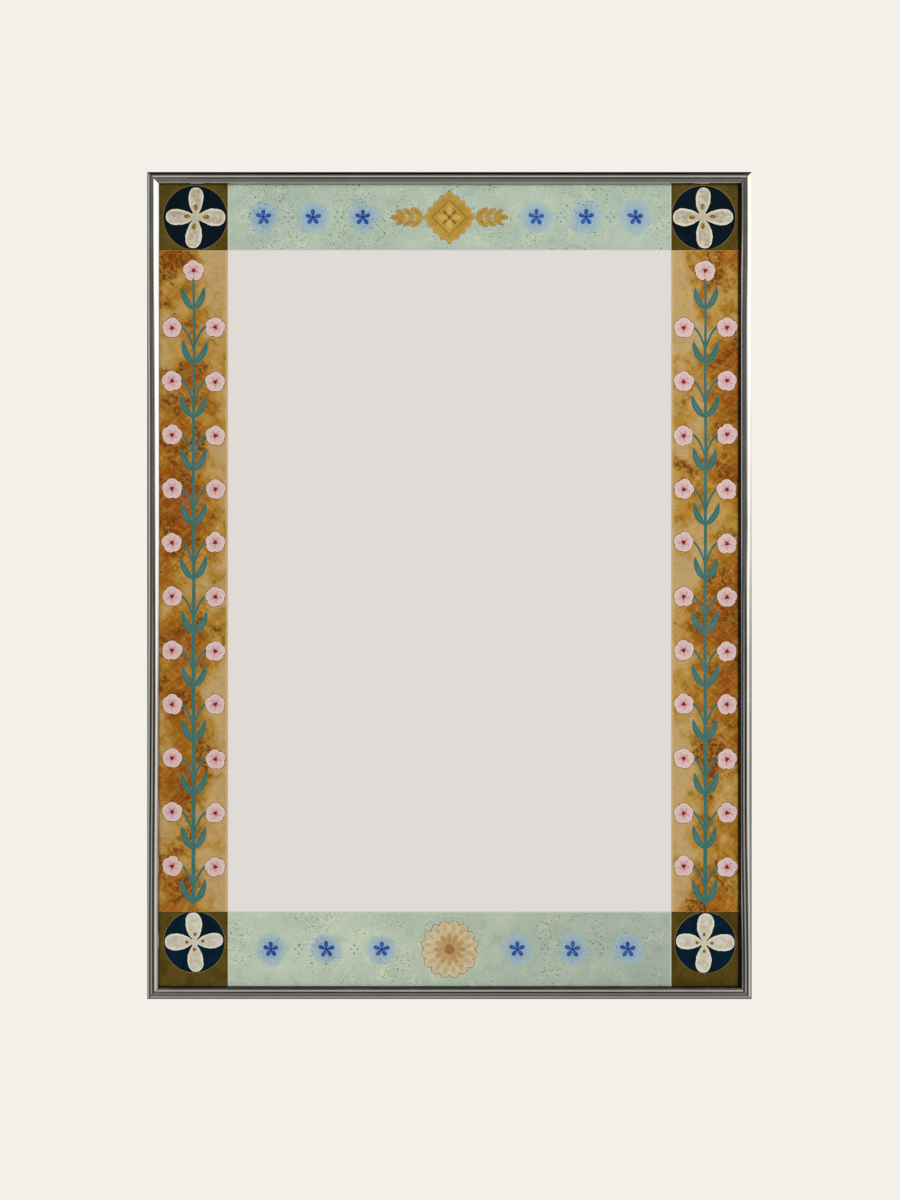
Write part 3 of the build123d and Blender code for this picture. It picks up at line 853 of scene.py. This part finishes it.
def curve(a, b, c, steps=18):
    """Points on a quadratic curve."""
    out = []
    for i in range(steps + 1):
        t = i / steps
        out.append(tuple((1 - t) ** 2 * p + 2 * t * (1 - t) * q + t * t * r for p, q, r in zip(a, b, c)))
    return out


def line(a, b, steps=12):
    """Points on a straight line."""
    return [(a[0] + (b[0] - a[0]) * i / steps, a[1] + (b[1] - a[1]) * i / steps) for i in range(steps + 1)]


def taper(width, ends=0.35):
    """A stroke width that thins towards both ends."""
    return lambda t: width * (ends + (1 - ends) * math.sin(math.pi * min(max(t, 0.0), 1.0)) ** 0.5)


# ---- Painted ornament ----


def make_tiles():
    """A four petalled rosette in a dark roundel on each corner tile.

    A tile is given as its corner, the roundel's middle, how far off that the rosette is, and each petal's
    angle, reach and width, from the right round to the bottom.
    """
    oval = {"full": 0.64, "steps": 26, "root": 0.8, "blunt": 0.42}
    high, low = TOP_Z - 0.6, SEAM_BOTTOM - 37.3
    tiles = [
        ("top", "left", 2.0 - SIDE_X, high, 0.9, 0.9,
         ((0, 35.4, 21.0), (91, 35.8, 17.8), (181, 36.6, 19.4), (263, 37.8, 19.6))),
        ("top", "right", SIDE_X - 2.4, high, -1.2, 0.9,
         ((-1, 37.2, 19.4), (89, 35.6, 17.8), (181, 35.4, 21.2), (277, 38.0, 19.6))),
        ("bottom", "left", 0.8 - SIDE_X, low + 0.9, 0.6, -0.2,
         ((5, 34.2, 18.4), (92, 36.0, 20.0), (178, 36.2, 20.4), (271, 35.6, 19.0))),
        ("bottom", "right", SIDE_X - 0.2, low, -1.1, -0.4,
         ((1, 36.6, 20.6), (87, 36.0, 20.4), (173, 34.2, 19.0), (269, 35.6, 19.0))),
    ]

    # The roundel's size, the heart's radius, the marks' near and far ends and width, and the paints.
    ends = {"top": (1.03, 6.0, 8.0, 15.4, 5.0, "navy", "cream"),
            "bottom": (0.98, 4.4, 7.4, 11.8, 4.0, "deep_navy", "white")}
    for end, side, x, z, off_x, off_z, shapes in tiles:
        grown, heart, near, far, wide, dark, pale = ends[end]
        bottom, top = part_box(f"corner_tile_{end}_{side}")
        within = [(millimetres(bottom[k]) + 1.0, millimetres(top[k]) - 1.0) for k in (0, 2)]
        seed = f"{end}{side}"
        dice = random.Random(seed)
        ring, edge, disc = Strokes(seed + "a"), Strokes(seed + "b", 0.03), Strokes(seed + "c", 0.06)
        ring.blob(x, z, 38.3 * grown, 0.03, 4, 96, 0.004, within=within)
        edge.blob(x, z, 37.5 * grown, 0.04, 4, 96, 0.006, within=within)
        disc.blob(x, z, 36.6 * grown, 0.05, 6, 96, 0.006, within=within)
        x, z = x + off_x, z + off_z
        outline, petals = Strokes(seed + "f", 0.11), Strokes(seed + "d", 0.14)
        marks, lights = Strokes(seed + "e", 0.27), Strokes(seed + "g", 0.34)
        petals.blob(x, z, heart, 0.12, 4, 32, 0.05)
        outline.blob(x, z, heart + 0.9, 0.03, 4, 32, 0.05)
        for angle, size, width in shapes:
            bend = dice.uniform(-5, 5)
            outline.petal(x, z, angle, 1.5, size + 0.8, width + 1.9, 0.03, bend=bend, rough=0.05, **oval)
            petals.petal(x, z, angle, 1.5, size, width, 0.15, bend=bend, rough=0.06, **oval)
            lean, out = angle + dice.uniform(-5, 5), dice.uniform(-1.0, 1.0)
            marks.petal(x, z, lean, near + out, far + out, wide, 0.1, 0.6, steps=14, blunt=0.45, rough=0.16)
            if end == "top":
                side_x, side_z = polar(x, z, angle + 90, dice.choice((-0.8, 0.8)))
                lights.petal(side_x, side_z, lean, near + out + 1, far + out - 2.4, 1.6, 0.06, 0.6, steps=12)
        lay(f"tile_{end}_{side}", "olive_glass",
            (ring, "roundel_ring", "olive_ring"), (edge, "roundel_edge", "black"), (disc, "roundel", dark),
            (outline, "petal_outline", "black"), (petals, "petals", pale), (marks, "marks", "umber"),
            (lights, "mark_lights", "flax"))


def make_blue_flowers(end, z, places):
    """A row of five petalled blue flowers along a strip, with dots between them."""
    oval = {"full": 0.66, "steps": 12, "root": 0.7}
    under, petals = Strokes("under" + end, 0.01), Strokes("blue" + end, 0.04)
    hearts, dots = Strokes("heart" + end, 0.2), Strokes("dots" + end, 0.02)
    for sign in (-1, 1):
        for x in [sign * away for away in places]:
            for m in range(5):
                angle = 90 + 72 * m + petals.dice.uniform(-5, 5)
                size = petals.dice.uniform(8.6, 10.0)
                under.petal(x, z, angle, 1.0, size + 0.5, 5.0, 0.03, **oval)
                petals.petal(x, z, angle, 1.0, size, 4.1, 0.16, **oval)
            hearts.blob(x, z, 1.7, 0.1, 3, 20, 0.12)
        for a, b in zip(places, places[1:]):
            x = sign * (a + b) / 2
            for dx, dz in ((0, 5.2), (0, -5.2), (4.0, 0), (-4.0, 0)):
                dots.blob(x + dx, z + dz, 1.15, 0.1, 3, 16, 0.1)
    lay(f"strip_{end}", "sage_glass", (under, "petal_outline", "ink"), (petals, "blue_petals", "blue"),
        (hearts, "flower_hearts", "indigo"), (dots, "dots", "slate"))


def make_lozenge():
    """A gold lozenge with a spray of leaves at either side, on the top strip."""
    z = TOP_Z
    leaf = {"full": 0.45, "steps": 16, "root": 0.6, "blunt": 0.6}
    under, gold = Strokes("goldline", 0.01), Strokes("lozenge", 0.04)
    lines, light = Strokes("lines", 0.26), Strokes("light", 0.24)

    def diamond(t):
        """A square on its corner with slightly hollow sides and a scalloped edge."""
        square = 1 / (abs(math.cos(t)) ** 1.25 + abs(math.sin(t)) ** 1.25) ** 0.8
        return square * (1 + 0.045 * math.cos(16 * t))

    gold.blob(0, z, 30.5, 0.2, 10, 128, 0.012, diamond)
    under.blob(0, z, 31.2, 0.02, 4, 128, 0.012, diamond)
    for sign in (-1, 1):
        gold.stroke(line((sign * 26, z), (sign * 60, z)), taper(2.2), 0.14)
        leaves = [(58.0, 0 if sign > 0 else 180, 12.5, 5.8, 0)]
        lean = 48 if sign > 0 else 132
        for k, away in enumerate((33.0, 43.5, 54.0)):
            for up in (-1, 1):
                leaves.append((away, up * lean, 17.0 - 1.8 * k, 6.4 - 0.5 * k, up * sign * -14))
        for away, angle, size, width, bend in leaves:
            at = sign * away
            under.petal(at, z, angle, 0.2, size + 0.7, width + 1.2, 0.02, bend=bend, **leaf)
            gold.petal(at, z, angle, 0.5, size, width, 0.16, bend=bend, **leaf)
            lines.petal(at, z, angle, size * 0.25, size * 0.8, 0.8, 0.05, 0.4, bend * 0.55, steps=10)
    for k in range(4):
        light.petal(0, z, 90 * k, 3.0, 14.0, 6.6, 0.1, 0.6, steps=14, root=0.6)
        lines.petal(0, z, 45 + 90 * k, 4.0, 11.5, 2.6, 0.08, 0.6, steps=12, root=0.6)
    lines.blob(0, z, 2.3, 0.12, 3, 24, 0.05)
    inset = 20.64
    edge = [(0, z + inset), (inset, z), (0, z - inset), (-inset, z), (0, z + inset)]
    for a, b in zip(edge, edge[1:]):
        lines.stroke(line(a, b, 16), taper(0.9, 0.6), 0.07, 4)
    lay("strip_top", "sage_glass", (under, "gold_outline", "umber"), (gold, "gold", "gold"),
        (light, "gold_petals", "straw"), (lines, "gold_lines", "umber"))


def make_rosette():
    """A round many petalled flower in cream and tan, on the bottom strip."""
    z = BOTTOM_Z
    base, outer, inner, heart = (Strokes("r" + str(k), 0.01 + 0.07 * k) for k in range(4))
    ribs = Strokes("ribs", 0.22)
    base.blob(0, z, 31.0, 0.08, 6, 96, 0.01)
    for k in range(16):
        angle = 11.25 + 22.5 * k + outer.dice.uniform(-1, 1)
        size = outer.dice.uniform(33.8, 35.0)
        base.petal(0, z, angle, 24.0, size + 0.7, 12.4, 0.05, 0.5, steps=12)
        outer.petal(0, z, angle, 10.0, size, 11.6, 0.16, 0.7, steps=20, root=0.55)
        rib = line(polar(0, z, angle, 22.0), polar(0, z, angle, 29.5), 8)
        ribs.stroke(rib, taper(1.0, 0.2), 0.06, 4, 0.2)
    for k in range(12):
        angle = 30 * k + inner.dice.uniform(-1.5, 1.5)
        inner.petal(0, z, angle, 5.0, 20.0, 8.0, 0.14, 0.66, steps=16, root=0.55)
    heart.blob(0, z, 6.6, 0.16, 4, 40, 0.02)
    lay("strip_bottom_rosette", "sage_glass", (base, "ground", "tan"), (outer, "outer", "moon"),
        (ribs, "ribs", "tan"), (inner, "inner", "sand"), (heart, "heart", "tan"))


def make_blossom(x, z, size, dice, parts):
    """Five rounded petals with a dark outline, lines between them and a red heart."""
    under, bloom, seams, dabs = parts
    oval = {"full": 0.6, "steps": 16, "blunt": 0.45}
    first = dice.uniform(-12, 12)
    for m in range(5):
        angle = first + 90 + 72 * m + dice.uniform(-4, 4)
        reach = size * dice.uniform(0.94, 1.06)
        width = size * dice.uniform(0.98, 1.08)
        under.petal(x, z, angle, 0.0, reach + 0.6, width + 1.1, 0.03, **oval)
        bloom.petal(x, z, angle, 0.0, reach, width, 0.2, rough=0.1, **oval)
        seams.petal(x, z, angle + 36, 2.2, size * 0.72, 0.75, 0.05, 0.35, steps=8)
    turn = dice.uniform(0, PHASES)
    dabs.blob(x, z, 2.5, 0.12, 3, 24, 0.12, lambda t: 1 + 0.18 * math.cos(3 * t), turn)
    dot_x, dot_z = polar(x, z, math.degrees(turn) + 20, 3.7)
    dabs.blob(dot_x, dot_z, 0.6, 0.06, 2, 12, 0.2)


def make_sides():
    """A straight stem with pairs of leaves and pink blossoms, up each side panel."""
    low, high = SEAM_BOTTOM + 9, SEAM_TOP - 9
    units = 12
    pitch = (high - low) / units
    leaf = {"steps": 24, "root": 0.75, "blunt": 0.75}
    for side, sign in (("left", -1), ("right", 1)):
        x = sign * SIDE_X
        stem, leaves = Strokes("stem" + side, 0.02), Strokes("leaf" + side, 0.02)
        stalks, veins = Strokes("stalk" + side, 0.01), Strokes("vein" + side, 0.2)
        under, bloom = Strokes("under" + side, 0.04), Strokes("bloom" + side, 0.07)
        seams, dabs = Strokes("seam" + side, 0.25), Strokes("dab" + side, 0.27)
        parts = under, bloom, seams, dabs
        dice = random.Random("side" + side)
        bent = stem.wobble(1.0)
        spine = [(x + 0.8 * (bent(k / 160) - 1), low + (high - 22 - low) * k / 160) for k in range(161)]
        stem.stroke(spine, lambda t: 5.0 - 2.0 * t, 0.2, 8, 0.12)
        for k in range(units):
            foot = low + pitch * k
            for way in (-1, 1):
                lean = 90 - way * (44 + dice.uniform(-4, 4))
                size = 31.0 * dice.uniform(0.95, 1.05)
                leaves.petal(x, foot + 2, lean, 0.5, size, 7.8, 0.2, 0.4, way * 24, rough=0.1, **leaf)
                veins.petal(x, foot + 2, lean, 4.0, size - 4, 0.8, 0.05, 0.3, way * 18, steps=16, rough=0.25)
                if k == units - 1:
                    continue
                bx, bz = x + way * 26.2, foot + 46.0 + dice.uniform(-1, 1)
                stalk = curve((x, foot + 17), (x + way * 6, foot + 44), (bx - way * 8, bz + 3))
                stalks.stroke(stalk, lambda t: 2.0 + 1.2 * t, 0.16)
                make_blossom(bx, bz, 12.2, dice, parts)
        make_blossom(x, high - 16, 12.6, dice, parts)
        lay(f"panel_{side}", "ochre_glass",
            (stem, "stem", "teal"), (leaves, "leaves", "teal"), (stalks, "stalks", "teal"),
            (veins, "leaf_veins", "mint"), (under, "blossom_outline", "bark"), (bloom, "blossoms", "pink"),
            (seams, "blossom_lines", "rose"), (dabs, "blossom_hearts", "red"))


# ---- Dressing ----


def dress(material, *names):
    """Gives CAD nodes a material."""
    for name in names:
        slots = NODES[name].data.materials
        slots.clear()
        slots.append(material)


def main():
    bpy.context.scene.view_settings.view_transform = "Standard"
    make_world()
    make_floor()
    make_camera()
    lamp("key", (1.9, -2.6, 1.7), 0.9, 0.9, 15.0)
    lamp("rear_fill", (-1.6, 2.6, 1.6), 0.9, 0.9, 12.0)

    metal = frame_metal()
    for side in ("bottom", "left", "top", "right"):
        make_rail(side, metal)
    corners = [f"{a}_{b}" for a in ("top", "bottom") for b in ("left", "right")]
    dress(mirror_silver(), "mirror_plate")
    dress(sage_ground(), "panel_top", "panel_bottom")
    dress(ochre_ground(), "panel_left", "panel_right")
    dress(olive_ground(), *[f"corner_tile_{c}" for c in corners])

    for name, values in PAINTS.items():
        paint(name, *values)
    make_tiles()
    make_blue_flowers("top", TOP_Z, TOP_FLOWERS)
    make_blue_flowers("bottom", BOTTOM_Z, BOTTOM_FLOWERS)
    make_lozenge()
    make_rosette()
    make_sides()

    foam = plain_back("foam_tape", (208, 208, 202), (186, 186, 180), 240.0, 0.0, (0.8, 0.95), 0.3)
    dress(foam, "mirror_tape", "panel_tape", "corner_tile_tape")
    dress(fibreboard(), "backboard")
    blocks = plain_back("block_rubber", (36, 36, 38), (50, 50, 52), 150.0, 0.0, (0.6, 0.8), 0.2)
    dress(blocks, "setting_blocks")
    spring = plain_back("spring_steel", (128, 134, 144), (98, 104, 118), 60.0, 1.0, (0.22, 0.38))
    dress(spring, *[f"spring_clips_{s}" for s in ("top", "bottom", "left", "right")])
    zinc = plain_back("zinc_steel", (196, 198, 196), (164, 168, 170), 45.0, 1.0, (0.3, 0.5), 0.15)
    black = plain_back("black_steel", (50, 50, 52), (34, 34, 36), 90.0, 1.0, (0.3, 0.48), 0.15)
    dress(zinc, *[f"corner_key_{c}" for c in corners], *[f"key_shim_{c}" for c in corners])
    dress(black, *[f"set_screws_{c}" for c in corners])
    brass = plain_back("hanger_brass", (220, 184, 108), (190, 150, 78), 50.0, 1.0, (0.2, 0.36), 0.12)
    dress(brass, "hanger_strap_left", "hanger_strap_right", "d_ring_left", "d_ring_right")
    screws = plain_back("screw_zinc", (206, 200, 178), (170, 166, 150), 80.0, 1.0, (0.24, 0.42))
    dress(screws, "hanger_screws_left", "hanger_screws_right")
    bumpers = plain_back("bumper_rubber", (52, 50, 50), (66, 64, 62), 200.0, 0.0, (0.55, 0.75), 0.2)
    dress(bumpers, "wall_bumpers")


main()
